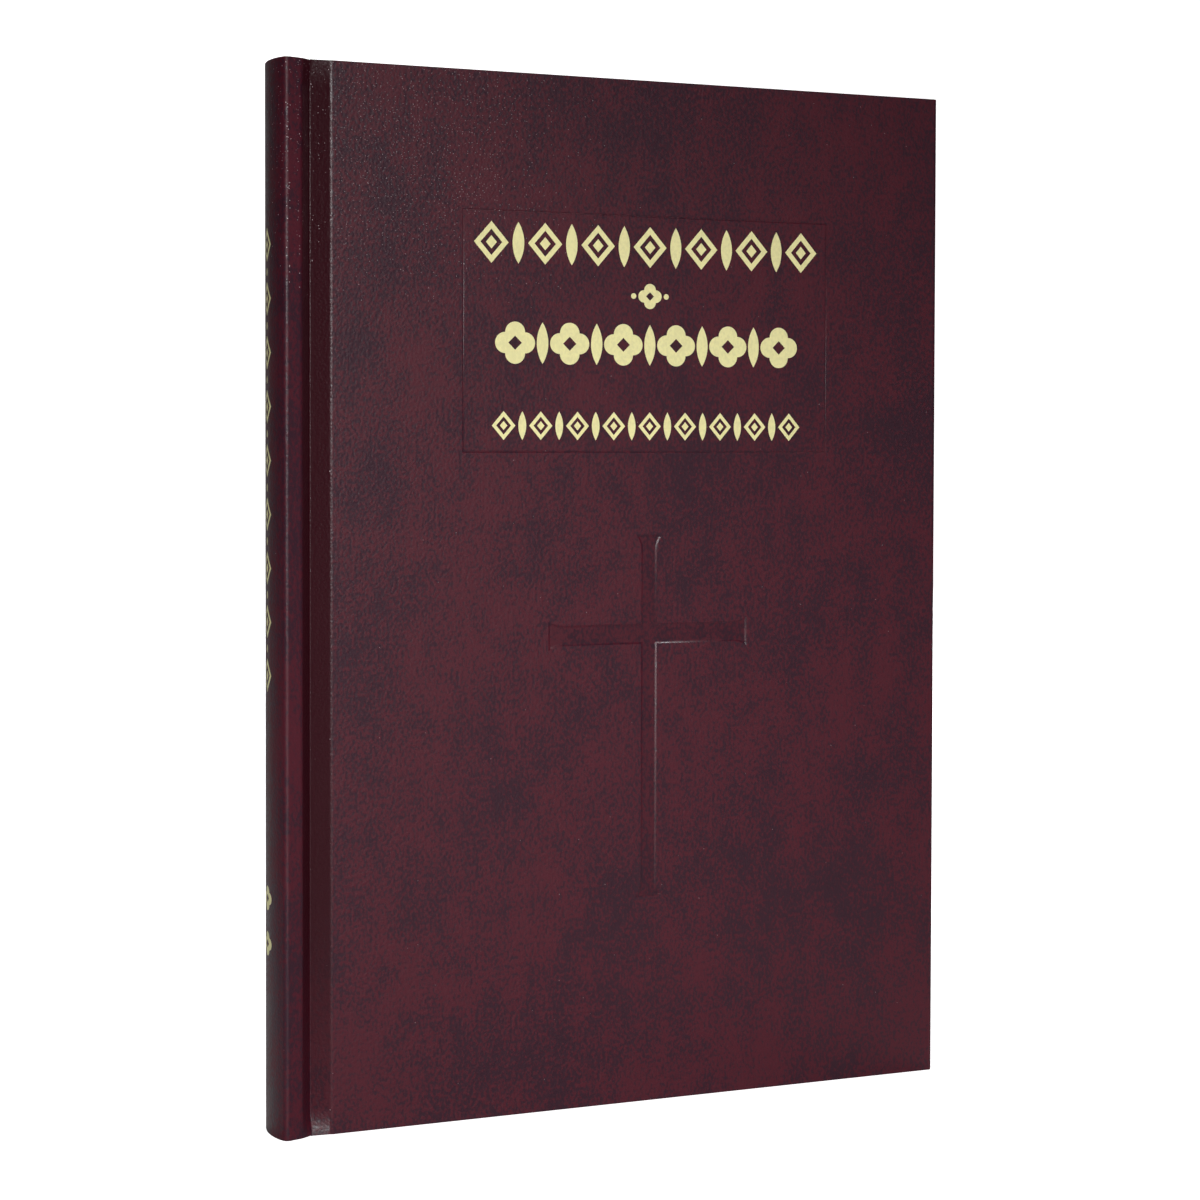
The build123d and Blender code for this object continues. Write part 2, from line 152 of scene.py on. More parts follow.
class BookSizes(bpy.types.PropertyGroup):
    """Sizes of the finished surfaces."""

    skin: FloatProperty(name="Leather", description="Leather thickness", default=0.35 * MM, unit="LENGTH")
    turn_in: FloatProperty(name="Turn-in", description="Leather turned inside", default=15 * MM, unit="LENGTH")
    edge_round: FloatProperty(name="Edge rounding", description="At head and tail", default=0.3 * MM, unit="LENGTH")
    corner_round: FloatProperty(name="Fore-edge rounding", description="Along the fore-edge", default=0.8 * MM,
                                unit="LENGTH")
    face_start: FloatProperty(name="Face start", description="From the groove to the flat of the board",
                              default=4.7 * MM, unit="LENGTH")
    board_round: FloatProperty(name="Board edge", description="Rounding where the joint meets the board",
                               default=1.8 * MM, unit="LENGTH")
    groove_fill: FloatProperty(name="Groove fill", description="Share of the groove filled at head and tail",
                               default=0.6, min=0, max=0.9, subtype="FACTOR")
    wall_run: FloatProperty(name="Wall run", description="Groove wall's width across the book",
                            default=2.5 * MM, unit="LENGTH")
    wall_top: FloatProperty(name="Wall top", description="Height of the groove wall over the board",
                            default=0.93 * MM, unit="LENGTH")
    ridge_half: FloatProperty(name="Ridge", description="Half the spine's width over the ridges",
                              default=7.9 * MM, unit="LENGTH")
    ridge_round: FloatProperty(name="Ridge rounding", description="Radius along the spine's ridges",
                               default=1.6 * MM, unit="LENGTH")
    spine_thick: FloatProperty(name="Spine thickness", description="Leather, card and turn-in",
                               default=1.6 * MM, unit="LENGTH")
    leaf: FloatProperty(name="Leaf", description="Leaf thickness", default=0.072 * MM, unit="LENGTH")
    endpaper: FloatProperty(name="Endpaper", description="Endpaper thickness", default=0.1 * MM, unit="LENGTH")
    press_round: FloatProperty(name="Press slope", description="Width of the sloped side of the pressed cross",
                               default=0.5 * MM, unit="LENGTH")
    cross_post: FloatProperty(name="Cross post", description="Width of the upright", default=3.5 * MM, unit="LENGTH")
    cross_bar: FloatProperty(name="Cross bar", description="Width of the bar", default=4.3 * MM, unit="LENGTH")
    cross_end: FloatProperty(name="Cross end", description="Width of the flared ends", default=6.4 * MM,
                             unit="LENGTH")
    cross_flare: FloatProperty(name="Cross flare", description="Length of the flare", default=3.6 * MM, unit="LENGTH")
    cross_reach: FloatProperty(name="Cross reach", description="Half the bar's length", default=24.5 * MM,
                               unit="LENGTH")
    cross_top: FloatProperty(name="Cross top", description="Below the head", default=104.2 * MM, unit="LENGTH")
    cross_level: FloatProperty(name="Cross level", description="Bar below the head", default=126.8 * MM,
                               unit="LENGTH")
    cross_bottom: FloatProperty(name="Cross bottom", description="Below the head", default=187.4 * MM,
                                unit="LENGTH")
    panel_width: FloatProperty(name="Panel width", description="Pressed line's width", default=90.5 * MM,
                               unit="LENGTH")
    panel_top: FloatProperty(name="Panel top", description="Below the head", default=30.75 * MM, unit="LENGTH")
    panel_bottom: FloatProperty(name="Panel bottom", description="Below the head", default=85.25 * MM,
                                unit="LENGTH")
    panel_line: FloatProperty(name="Panel line", description="Width of the pressed line", default=0.55 * MM,
                              unit="LENGTH")
    sheets: IntProperty(name="Sheets", description="Folded sheets in a section", default=4, min=1)


class BookColours(bpy.types.PropertyGroup):
    """Colours of the finishes."""

    oxblood: FloatVectorProperty(name="Oxblood", description="Redder patches of the leather", subtype="COLOR",
                                 default=(0.078, 0.0055, 0.0155))
    umber: FloatVectorProperty(name="Umber", description="Greyer patches of the leather", subtype="COLOR",
                               default=(0.034, 0.0078, 0.018))
    gold: FloatVectorProperty(name="Gold", description="Foil", subtype="COLOR", default=(1.0, 0.93, 0.46))
    paper: FloatVectorProperty(name="Paper", description="Text paper", subtype="COLOR", default=(0.80, 0.74, 0.62))
    endpaper: FloatVectorProperty(name="Endpaper", description="Endpapers", subtype="COLOR",
                                  default=(0.76, 0.70, 0.58))
    board: FloatVectorProperty(name="Board", description="Boards and spine card", subtype="COLOR",
                               default=(0.34, 0.28, 0.20))
    gauze: FloatVectorProperty(name="Gauze", description="Mull and thread", subtype="COLOR",
                               default=(0.72, 0.69, 0.6))
    kraft: FloatVectorProperty(name="Kraft", description="Spine lining", subtype="COLOR",
                               default=(0.40, 0.27, 0.15))
    silk: FloatVectorProperty(name="Silk", description="Headband and tailband", subtype="COLOR",
                              default=(0.75, 0.68, 0.52))


# Modelling helpers


def clear_selection():
    """Leave nothing selected, in object mode."""
    if bpy.context.object and bpy.context.object.mode != "OBJECT":
        bpy.ops.object.mode_set(mode="OBJECT")
    bpy.ops.object.select_all(action="DESELECT")


def only(piece):
    """Make one piece the selected, active object."""
    clear_selection()
    piece.select_set(True)
    bpy.context.view_layer.objects.active = piece


def begin(name, place):
    """A new mesh that is a single vertex, in edit mode."""
    clear_selection()
    bpy.ops.mesh.primitive_plane_add(size=MM, location=place)
    piece = bpy.context.object
    piece.name = name
    piece.data.name = name
    bpy.ops.object.mode_set(mode="EDIT")
    bpy.ops.mesh.select_mode(type="VERT")
    bpy.ops.mesh.select_all(action="SELECT")
    bpy.ops.mesh.merge(type="CENTER")
    return piece


def extrude_by(step):
    """Extrude what is selected."""
    bpy.ops.mesh.extrude_region_move(TRANSFORM_OT_translate={"value": tuple(step)})


def draw(places):
    """Extrude what is selected along a line of places."""
    for here, there in zip(places, places[1:]):
        extrude_by(Vector(there) - Vector(here))


def settle(piece):
    """Weld, turn the faces outwards and put the piece's origin at the world's."""
    bpy.ops.mesh.select_all(action="SELECT")
    bpy.ops.mesh.remove_doubles(threshold=0.002 * MM)
    bpy.ops.mesh.normals_make_consistent(inside=False)
    bpy.ops.object.mode_set(mode="OBJECT")
    only(piece)
    bpy.ops.object.transform_apply(location=True, rotation=True, scale=True)


def solid(name, places, step):
    """A closed solid: an outline filled and extruded."""
    piece = begin(name, places[0])
    draw(places)
    bpy.ops.mesh.select_all(action="SELECT")
    bpy.ops.mesh.edge_face_add()
    extrude_by(step)
    settle(piece)
    return piece


def prism(name, points, low, high):
    """A closed solid with a plan outline between two heights."""
    return solid(name, [(x, y, low) for x, y in points], (0, 0, high - low))


def upright_sheet(name, points, low, high):
    """An open sheet that stands on a plan line."""
    piece = begin(name, (*points[0], low))
    extrude_by((0, 0, high - low))
    bpy.ops.mesh.select_all(action="SELECT")
    draw([(x, y, low) for x, y in points])
    bpy.ops.object.mode_set(mode="OBJECT")
    only(piece)
    bpy.ops.object.transform_apply(location=True, rotation=True, scale=True)
    return piece


def choose(piece, kind, test):
    """Select a piece's vertices, edges or faces by their place, and leave it in edit mode."""
    only(piece)
    bpy.ops.object.mode_set(mode="EDIT")
    bpy.ops.mesh.select_mode(type=kind)
    bpy.ops.mesh.select_all(action="DESELECT")
    bpy.ops.object.mode_set(mode="OBJECT")
    mesh = piece.data
    if kind == "VERT":
        for vertex in mesh.vertices:
            vertex.select = test(vertex.co)
    if kind == "EDGE":
        for edge in mesh.edges:
            ends = [mesh.vertices[n].co for n in edge.vertices]
            edge.select = test(*ends)
    if kind == "FACE":
        for face in mesh.polygons:
            face.select = test(face.center, face.normal)
    bpy.ops.object.mode_set(mode="EDIT")


def cut(piece, point, normal):
    """Divide every face that a plane crosses."""
    only(piece)
    bpy.ops.object.mode_set(mode="EDIT")
    bpy.ops.mesh.select_all(action="SELECT")
    bpy.ops.mesh.bisect(plane_co=point, plane_no=normal)
    bpy.ops.object.mode_set(mode="OBJECT")


def thicken(piece, thickness, offset):
    """Give a sheet its thickness."""
    only(piece)
    wall = piece.modifiers.new("Thickness", "SOLIDIFY")
    wall.thickness = thickness
    wall.offset = offset
    wall.use_even_offset = True
    bpy.ops.object.modifier_apply(modifier=wall.name)


def carve(piece, cutter):
    """Cut one closed piece out of another, and drop the cutter."""
    only(piece)
    difference = piece.modifiers.new("Cut", "BOOLEAN")
    difference.operation = "DIFFERENCE"
    difference.solver = "EXACT"
    difference.object = cutter
    difference.material_mode = "TRANSFER"
    bpy.ops.object.modifier_apply(modifier=difference.name)
    bpy.data.objects.remove(cutter)


def smooth(piece, degrees):
    """Smooth shading, sharp past an angle."""
    only(piece)
    bpy.ops.object.shade_smooth_by_angle(angle=math.radians(degrees))
    weighted = piece.modifiers.new("Flat faces stay flat", "WEIGHTED_NORMAL")
    weighted.keep_sharp = True
    bpy.ops.object.modifier_apply(modifier=weighted.name)


def joined(name, pieces):
    """Several pieces made one."""
    clear_selection()
    for piece in pieces:
        piece.select_set(True)
    bpy.context.view_layer.objects.active = pieces[0]
    bpy.ops.object.join()
    pieces[0].name = name
    pieces[0].data.name = name
    return pieces[0]


def rounded(points, radius, steps=4):
    """A plan line whose inner corners are arcs of one radius."""
    line = [Vector(points[0])]
    for before, corner, after in zip(points, points[1:], points[2:]):
        before, corner, after = Vector(before), Vector(corner), Vector(after)
        back = (before - corner).normalized()
        ahead = (after - corner).normalized()
        half = back.angle(ahead) / 2
        reach = min(radius / math.tan(half), (before - corner).length * 0.45, (after - corner).length * 0.45)
        size = reach * math.tan(half)
        centre = corner + (back + ahead).normalized() * size / math.sin(half)
        start = corner + back * reach - centre
        end = corner + ahead * reach - centre
        turn = start.angle_signed(end)
        for n in range(steps + 1):
            spoke = start.copy()
            angle = -turn * n / steps
            x = spoke.x * math.cos(angle) - spoke.y * math.sin(angle)
            y = spoke.x * math.sin(angle) + spoke.y * math.cos(angle)
            line.append(centre + Vector((x, y)))
    line.append(Vector(points[-1]))
    return line


def is_on(place, line):
    """Whether a place lies on a plan line."""
    point = Vector(place[:2])
    for start, end in zip(line, line[1:]):
        start, end = Vector(start), Vector(end)
        share = (point - start).dot(end - start) / (end - start).length_squared
        nearest = start.lerp(end, min(max(share, 0), 1))
        if (point - nearest).length < CLOSE:
            return True
    return False


# Material helpers


def new_group(name, inputs, outputs):
    """A shader node group with its sockets: (name, socket type, default) and (name, socket type)."""
    group = bpy.data.node_groups.new(name, "ShaderNodeTree")
    for label, kind, value in inputs:
        socket = group.interface.new_socket(name=label, in_out="INPUT", socket_type=kind)
        socket.default_value = value
    for label, kind in outputs:
        group.interface.new_socket(name=label, in_out="OUTPUT", socket_type=kind)
    return group, group.nodes.new("NodeGroupInput"), group.nodes.new("NodeGroupOutput")


def math_node(group, operation, *values):
    """A Math node fed by sockets or numbers. Returns its output."""
    node = group.nodes.new("ShaderNodeMath")
    node.operation = operation
    for socket, value in zip(node.inputs, values):
        if isinstance(value, bpy.types.NodeSocket):
            group.links.new(value, socket)
        else:
            socket.default_value = value
    return node.outputs[0]


def stepped(group, value, low, high):
    """A value mapped smoothly from a range to 0..1."""
    node = group.nodes.new("ShaderNodeMapRange")
    node.interpolation_type = "SMOOTHSTEP"
    node.inputs["From Min"].default_value = low
    node.inputs["From Max"].default_value = high
    group.links.new(value, node.inputs["Value"])
    return node.outputs["Result"]


def noise(group, vector, scale, detail, roughness=0.5):
    """Noise over a vector, at the scale of a socket. Returns its output."""
    node = group.nodes.new("ShaderNodeTexNoise")
    group.links.new(vector, node.inputs["Vector"])
    group.links.new(scale, node.inputs["Scale"])
    node.inputs["Detail"].default_value = detail
    node.inputs["Roughness"].default_value = roughness
    return node.outputs["Fac"]


def cells(group, vector, scale):
    """Cells over a vector, at the scale of a socket. Returns the node."""
    node = group.nodes.new("ShaderNodeTexVoronoi")
    group.links.new(vector, node.inputs["Vector"])
    group.links.new(scale, node.inputs["Scale"])
    return node


def leather_group():
    """Mottling, grain height and painted highlight glints of embossed leather, and the mask of its joint groove,
    which is glossier and painted darker as shade.
    """
    group, given, made = new_group(
        "Leather grain",
        [
            ("Mottles", "NodeSocketFloat", 42.0),
            ("Blotches", "NodeSocketFloat", 170.0),
            ("Pebbles", "NodeSocketFloat", 1500.0),
            ("Glints", "NodeSocketFloat", 1700.0),
        ],
        [
            ("Mottle", "NodeSocketFloat"),
            ("Grain", "NodeSocketFloat"),
            ("Painted glint", "NodeSocketFloat"),
            ("Joint", "NodeSocketFloat"),
        ],
    )
    place = group.nodes.new("ShaderNodeTexCoord").outputs["Object"]
    stretch = group.nodes.new("ShaderNodeMapping")
    stretch.inputs["Scale"].default_value = (1, 1, 0.7)
    group.links.new(place, stretch.inputs["Vector"])
    tall = stretch.outputs["Vector"]
    broad = noise(group, tall, given.outputs["Mottles"], 3)
    patchy = noise(group, tall, given.outputs["Blotches"], 4, 0.62)
    fine = noise(group, tall, given.outputs["Pebbles"], 2)
    mixed = math_node(group, "MULTIPLY_ADD", patchy, 0.4, math_node(group, "MULTIPLY", broad, 0.45))
    speckled = math_node(group, "MULTIPLY_ADD", fine, 0.9, math_node(group, "SUBTRACT", mixed, 0.375))
    group.links.new(stepped(group, speckled, 0.37, 0.63), made.inputs["Mottle"])
    pebble = cells(group, place, given.outputs["Pebbles"]).outputs["Distance"]
    crease = math_node(group, "SUBTRACT", 1.0, math_node(group, "MINIMUM", pebble, 0.8))
    height = math_node(group, "ADD", crease, math_node(group, "MULTIPLY", fine, 0.9))
    group.links.new(height, made.inputs["Grain"])
    # Painted highlights: small bright glints on the grain, crowded towards the head and the spine side where the
    # light falls, with a few elsewhere.
    spots = cells(group, place, given.outputs["Glints"])
    near = math_node(group, "LESS_THAN", spots.outputs["Distance"], 0.19)
    split = group.nodes.new("ShaderNodeSeparateColor")
    group.links.new(spots.outputs["Color"], split.inputs["Color"])
    axes = group.nodes.new("ShaderNodeSeparateXYZ")
    group.links.new(place, axes.inputs[0])
    across = stepped(group, axes.outputs["X"], 0.0, -0.05)
    up = stepped(group, axes.outputs["Z"], 0.178, 0.212)
    shown = math_node(group, "MULTIPLY_ADD", math_node(group, "MULTIPLY", across, up), 0.8, 0.004)
    rare = math_node(group, "LESS_THAN", split.outputs["Red"], shown)
    spot = math_node(group, "MULTIPLY", near, rare)
    strength = math_node(group, "POWER", split.outputs["Green"], 4.0)
    group.links.new(math_node(group, "MULTIPLY", spot, strength), made.inputs["Painted glint"])
    # Joint groove mask, fading out towards the tail: it makes the groove and its slope glossier, and darker as
    # painted shade.
    past_wall = stepped(group, axes.outputs["X"], -0.0756, -0.0746)
    before_face = stepped(group, axes.outputs["X"], -0.0679, -0.0691)
    above_tail = stepped(group, axes.outputs["Z"], -0.02, 0.06)
    groove = math_node(group, "MULTIPLY", past_wall, before_face)
    group.links.new(math_node(group, "MULTIPLY", groove, above_tail), made.inputs["Joint"])
    return group


def fibre_group():
    """Colour variation and height of paper or board fibres."""
    group, given, made = new_group(
        "Fibres",
        [("Clouds", "NodeSocketFloat", 60.0), ("Fibres", "NodeSocketFloat", 2500.0)],
        [("Tone", "NodeSocketFloat"), ("Height", "NodeSocketFloat")],
    )
    place = group.nodes.new("ShaderNodeTexCoord").outputs["Object"]
    clouds = noise(group, place, given.outputs["Clouds"], 3)
    threads = noise(group, place, given.outputs["Fibres"], 3, 0.7)
    half_clouds = math_node(group, "MULTIPLY", clouds, 0.5)
    half_threads = math_node(group, "MULTIPLY", threads, 0.5)
    tone = math_node(group, "ADD", half_clouds, half_threads)
    group.links.new(stepped(group, tone, 0.3, 0.7), made.inputs["Tone"])
    group.links.new(threads, made.inputs["Height"])
    return group


def weave_group():
    """Height and tone of a plain weave, its warp along Z. The tone is darker where the weave is low, as painted shade
    between the threads.
    """
    group, given, made = new_group(
        "Weave",
        [("Threads", "NodeSocketFloat", 900.0)],
        [("Height", "NodeSocketFloat"), ("Tone", "NodeSocketFloat")],
    )
    place = group.nodes.new("ShaderNodeTexCoord").outputs["Object"]
    split = group.nodes.new("ShaderNodeSeparateXYZ")
    group.links.new(place, split.inputs[0])
    across = math_node(group, "ADD", split.outputs["X"], split.outputs["Y"])
    turn = math_node(group, "MULTIPLY", given.outputs["Threads"], 2 * math.pi)
    warp = math_node(group, "SINE", math_node(group, "MULTIPLY", across, turn))
    weft = math_node(group, "SINE", math_node(group, "MULTIPLY", split.outputs["Z"], turn))
    top = math_node(group, "MAXIMUM", warp, weft)
    group.links.new(top, made.inputs["Height"])
    # Painted shade: darker where the weave is low, between the threads.
    group.links.new(stepped(group, top, -0.4, 0.7), made.inputs["Tone"])
    return group


def shared_group(name, build):
    """The group of that name, built the first time."""
    return bpy.data.node_groups.get(name) or build()


def new_material(name, group, values):
    """A material with a Principled shader and one shared group. Returns (material, shader, group node)."""
    material = bpy.data.materials.new(name)
    material.use_nodes = True
    tree = material.node_tree
    shader = tree.nodes["Principled BSDF"]
    node = tree.nodes.new("ShaderNodeGroup")
    node.node_tree = group
    for label, value in values.items():
        node.inputs[label].default_value = value
    return material, shader, node


def tint(tree, factor, first, second):
    """A colour mixed between two. Returns the node."""
    node = tree.nodes.new("ShaderNodeMix")
    node.data_type = "RGBA"
    tree.links.new(factor, node.inputs["Factor"])
    node.inputs["A"].default_value = (*first, 1)
    node.inputs["B"].default_value = (*second, 1)
    return node


def bump(tree, shader, height, strength, distance):
    """Relief from a height."""
    node = tree.nodes.new("ShaderNodeBump")
    node.inputs["Strength"].default_value = strength
    node.inputs["Distance"].default_value = distance
    tree.links.new(height, node.inputs["Height"])
    tree.links.new(node.outputs["Normal"], shader.inputs["Normal"])


def leather(name, grain, roughness, shade):
    """Mottled, embossed leather."""
    colours = bpy.context.scene.book_colours
    group = shared_group("Leather grain", leather_group)
    material, shader, node = new_material(name, group, {})
    tree = material.node_tree
    red = [part * shade for part in colours.oxblood]
    grey = [part * shade for part in colours.umber]
    mottled = tint(tree, node.outputs["Mottle"], grey, red)
    # Painted highlights: the glint mask mixes a pale glint colour into the leather's base colour.
    painted_glint = tree.nodes.new("ShaderNodeMix")
    painted_glint.data_type = "RGBA"
    painted_glint.inputs["B"].default_value = PAINTED_GLINT_COLOUR
    tree.links.new(node.outputs["Painted glint"], painted_glint.inputs["Factor"])
    # Painted shade: the joint groove and its slope darkened towards a dark oxblood.
    groove_painted_shade = tint(tree, node.outputs["Joint"], (0, 0, 0), [part * JOINT_PAINTED_SHADE for part in colours.oxblood])
    tree.links.new(mottled.outputs["Result"], groove_painted_shade.inputs["A"])
    tree.links.new(groove_painted_shade.outputs["Result"], painted_glint.inputs["A"])
    tree.links.new(painted_glint.outputs["Result"], shader.inputs["Base Color"])
    rough = tree.nodes.new("ShaderNodeMapRange")
    rough.inputs["To Min"].default_value = roughness - 0.05
    rough.inputs["To Max"].default_value = roughness + 0.06
    tree.links.new(node.outputs["Mottle"], rough.inputs["Value"])
    glossy = tree.nodes.new("ShaderNodeMix")
    glossy.inputs["B"].default_value = JOINT_ROUGHNESS
    tree.links.new(node.outputs["Joint"], glossy.inputs["Factor"])
    tree.links.new(rough.outputs["Result"], glossy.inputs["A"])
    tree.links.new(glossy.outputs["Result"], shader.inputs["Roughness"])
    shader.inputs["Specular IOR Level"].default_value = LEATHER_SPECULAR
    bump(tree, shader, node.outputs["Grain"], grain, 0.06 * MM)
    return material


def fibrous(name, colour, clouds, fibres, contrast, roughness, relief):
    """Paper or board."""
    group = shared_group("Fibres", fibre_group)
    material, shader, node = new_material(name, group, {"Clouds": clouds, "Fibres": fibres})
    tree = material.node_tree
    dark = [part * (1 - contrast) for part in colour]
    tone = tint(tree, node.outputs["Tone"], dark, tuple(colour))
    tree.links.new(tone.outputs["Result"], shader.inputs["Base Color"])
    shader.inputs["Roughness"].default_value = roughness
    shader.inputs["Specular IOR Level"].default_value = 0.25
    bump(tree, shader, node.outputs["Height"], relief, 0.05 * MM)
    return material


def woven(name, colour, threads, roughness):
    """Gauze or thread."""
    group = shared_group("Weave", weave_group)
    material, shader, node = new_material(name, group, {"Threads": threads})
    tree = material.node_tree
    # Painted shade between the threads: the weave's low points take this darker colour.
    dark = [part * 0.45 for part in colour]
    tone = tint(tree, node.outputs["Tone"], dark, tuple(colour))
    tree.links.new(tone.outputs["Result"], shader.inputs["Base Color"])
    shader.inputs["Roughness"].default_value = roughness
    shader.inputs["Sheen Weight"].default_value = 0.3
    bump(tree, shader, node.outputs["Height"], 0.6, 0.08 * MM)
    return material


def gilt():
    """Stamped foil that follows the grain under it."""
    colours = bpy.context.scene.book_colours
    group = shared_group("Leather grain", leather_group)
    material, shader, node = new_material("Gold foil", group, {})
    tree = material.node_tree
    dark = [part * 0.92 for part in colours.gold]
    tone = tint(tree, node.outputs["Mottle"], dark, tuple(colours.gold))
    tree.links.new(tone.outputs["Result"], shader.inputs["Base Color"])
    shader.inputs["Metallic"].default_value = 0.05
    shader.inputs["Roughness"].default_value = 0.38
    bump(tree, shader, node.outputs["Grain"], 0.25, 0.04 * MM)
    return material


def dress(piece, material):
    """Give a new piece its only material."""
    piece.data.materials.clear()
    piece.data.materials.append(material)


def dress_node(node, material):
    """Give a CAD node a better material."""
    mesh = frame["nodes"][node].data
    mesh.materials.clear()
    mesh.materials.append(material)


# Outlines in plan, drawn for the front half as (x, distance out from the middle plane)


def wall_foot():
    """Where the spine's leather and a cover's leather meet, at the foot of the groove's wall."""
    sizes = bpy.context.scene.book_sizes
    top = Vector((HINGE.x - sizes.wall_run, COVER_OUT + sizes.wall_top))
    start = Vector((HINGE.x, HINGE_OUT))
    return start + (top - start).normalized() * FOOT_RISE


def cover_outline():
    """Outer line of a cover's leather, from the foot of the groove's wall to the inside of the fore-edge."""
    sizes = bpy.context.scene.book_sizes
    bottom = (HINGE.x, HINGE_OUT)
    board_edge = (HINGE.x + sizes.face_start - BOARD_EDGE_INSET, COVER_OUT)
    groove = rounded([tuple(wall_foot()), bottom, board_edge], GROOVE_ROUND, 3)
    shoulder = rounded([bottom, board_edge, (FORE_EDGE, COVER_OUT)], sizes.board_round)
    return groove[:-1] + shoulder[1:-1] + [Vector((FORE_EDGE, COVER_OUT)), Vector((FORE_EDGE, COVER_IN))]


def cover_inner_line():
    """Inner line of a cover's leather at head and tail, from the board back to the wall's foot."""
    foot = wall_foot()
    return [Vector((HINGE.x + 0.4 * MM, COVER_IN)), Vector((foot.x + 0.2 * MM, COVER_IN + 0.25 * MM))]


def spine_outline():
    """Outer line of the spine's leather, from the front groove round the back to the back groove."""
    sizes = bpy.context.scene.book_sizes
    foot = wall_foot()
    wall_top = (HINGE.x - sizes.wall_run, COVER_OUT + sizes.wall_top)
    ridge_x = SPINE_CENTRE - math.sqrt(SPINE_RADIUS**2 - sizes.ridge_half**2)
    turn = math.asin(sizes.ridge_half / SPINE_RADIUS)
    steps = 9
    crown = []
    for n in range(steps):
        angle = turn * 0.72 * (1 - n / steps)
        crown.append((SPINE_CENTRE - SPINE_RADIUS * math.cos(angle), SPINE_RADIUS * math.sin(angle)))
    corners = [tuple(foot), wall_top, (ridge_x, sizes.ridge_half), crown[0]]
    half = [tuple(point) for point in rounded(corners, sizes.ridge_round, 6)][:-1] + crown
    middle = [(CROWN, 0.0)]
    return half + middle + [(x, -y) for x, y in reversed(half)]


def spine_inner_line():
    """Inner line of the spine's head cap: the turned-in leather behind the card."""
    sizes = bpy.context.scene.book_sizes
    foot = wall_foot()
    inner = SPINE_RADIUS - sizes.spine_thick
    turn = math.asin(CARD_BOX[1].y / inner)
    half = [(foot.x - 0.35 * MM, foot.y - 0.25 * MM), (HINGE.x - sizes.wall_run - 0.1 * MM, COVER_OUT + 0.2 * MM)]
    steps = 6
    for n in range(steps):
        angle = turn * (1 - n / steps)
        half.append((SPINE_CENTRE - inner * math.cos(angle), inner * math.sin(angle)))
    return half + [(SPINE_CENTRE - inner, 0.0)] + [(x, -y) for x, y in reversed(half)]


# Leather


def at_depth(place, depth):
    """Whether a place lies at a depth from head or tail."""
    return min(abs(place.z - TAIL - depth), abs(HEAD - depth - place.z)) < CLOSE


def round_ends(piece):
    """Soften the head and tail edges of a leather piece."""
    sizes = bpy.context.scene.book_sizes

    def at_end(first, second):
        level = abs(first.z - second.z) < CLOSE
        return level and at_depth(first, 0)

    choose(piece, "EDGE", at_end)
    bpy.ops.mesh.bevel(offset=sizes.edge_round, segments=3, affect="EDGES", clamp_overlap=True)
    bpy.ops.object.mode_set(mode="OBJECT")


def open_window(piece, inside):
    """Delete the faces on a plan line between the turn-ins, so that the leather is a sheet round its board."""
    sizes = bpy.context.scene.book_sizes
    low, high = TAIL + sizes.turn_in, HEAD - sizes.turn_in
    for height in (low, high):
        cut(piece, (0, 0, height), (0, 0, 1))
    choose(piece, "FACE", lambda centre, normal: low < centre.z < high and is_on(centre, inside))
    bpy.ops.mesh.delete(type="FACE")
    bpy.ops.object.mode_set(mode="OBJECT")


def fill_groove_ends(piece, outline):
    """Raise the bottom of the joint groove at head and tail, where the turned-in leather fills it."""
    sizes = bpy.context.scene.book_sizes
    wall_x, wall_y = HINGE.x - sizes.wall_run, COVER_OUT + sizes.wall_top
    face_x = HINGE.x + sizes.face_start
    past_bottom = HINGE.x + 0.5 * MM
    for depth, _ in GROOVE_FILL_ROWS[1:]:
        for height in (TAIL + depth, HEAD - depth):
            cut(piece, (0, 0, height), (0, 0, 1))
    for x, y in outline:
        if not wall_x < x < past_bottom:
            continue
        level = wall_y + (COVER_OUT - wall_y) * (x - wall_x) / (face_x - wall_x)
        rise = (level - abs(y)) * sizes.groove_fill
        for depth, share in GROOVE_FILL_ROWS[:-1]:
            raise_line(piece, (x, y), depth, rise * share)
    bpy.ops.object.mode_set(mode="OBJECT")


def raise_line(piece, spot, depth, rise):
    """Move a groove's points at one place in plan and one depth from the ends outwards."""

    def is_there(place):
        return (place.xy - Vector(spot)).length < CLOSE and at_depth(place, depth)

    choose(piece, "VERT", is_there)
    bpy.ops.transform.translate(value=(0, math.copysign(rise, spot[1]), 0))


def cover_leather(side):
    """The leather of one cover, from the groove over the board and round its edges."""
    sizes = bpy.context.scene.book_sizes
    outer = [(x, side * y) for x, y in cover_outline()]
    inner = [(x, side * y) for x, y in cover_inner_line()]
    piece = prism(f"{SIDE_NAMES[side]}_cover_leather", outer + inner, TAIL, HEAD)

    def on_fore_edge(first, second):
        upright = abs(first.z - second.z) > 10 * MM
        return upright and min(first.x, second.x) > FORE_EDGE - CLOSE

    choose(piece, "EDGE", on_fore_edge)
    bpy.ops.mesh.bevel(offset=sizes.corner_round, segments=3, affect="EDGES")
    bpy.ops.object.mode_set(mode="OBJECT")
    fill_groove_ends(piece, outer)
    round_ends(piece)
    face_left = HINGE.x + sizes.face_start + 1.6 * MM
    face_right = FORE_EDGE - sizes.corner_round - 0.3 * MM
    edge = FORE_EDGE - sizes.turn_in
    for x in (face_left, face_right, edge):
        cut(piece, (x, 0, 0), (1, 0, 0))
    open_window(piece, [(edge, side * COVER_IN)] + inner + outer[:1])
    thicken(piece, sizes.skin, -1)
    return piece


def spine_leather():
    """The leather of the spine, turned over the card at head and tail."""
    sizes = bpy.context.scene.book_sizes
    outer = [tuple(point) for point in spine_outline()]
    inner = list(reversed(spine_inner_line()))
    piece = prism("spine_leather_skin", outer + inner, TAIL, HEAD)
    fill_groove_ends(piece, outer)
    round_ends(piece)
    open_window(piece, outer[-1:] + inner + outer[:1])
    thicken(piece, sizes.skin, -1)
    return piece


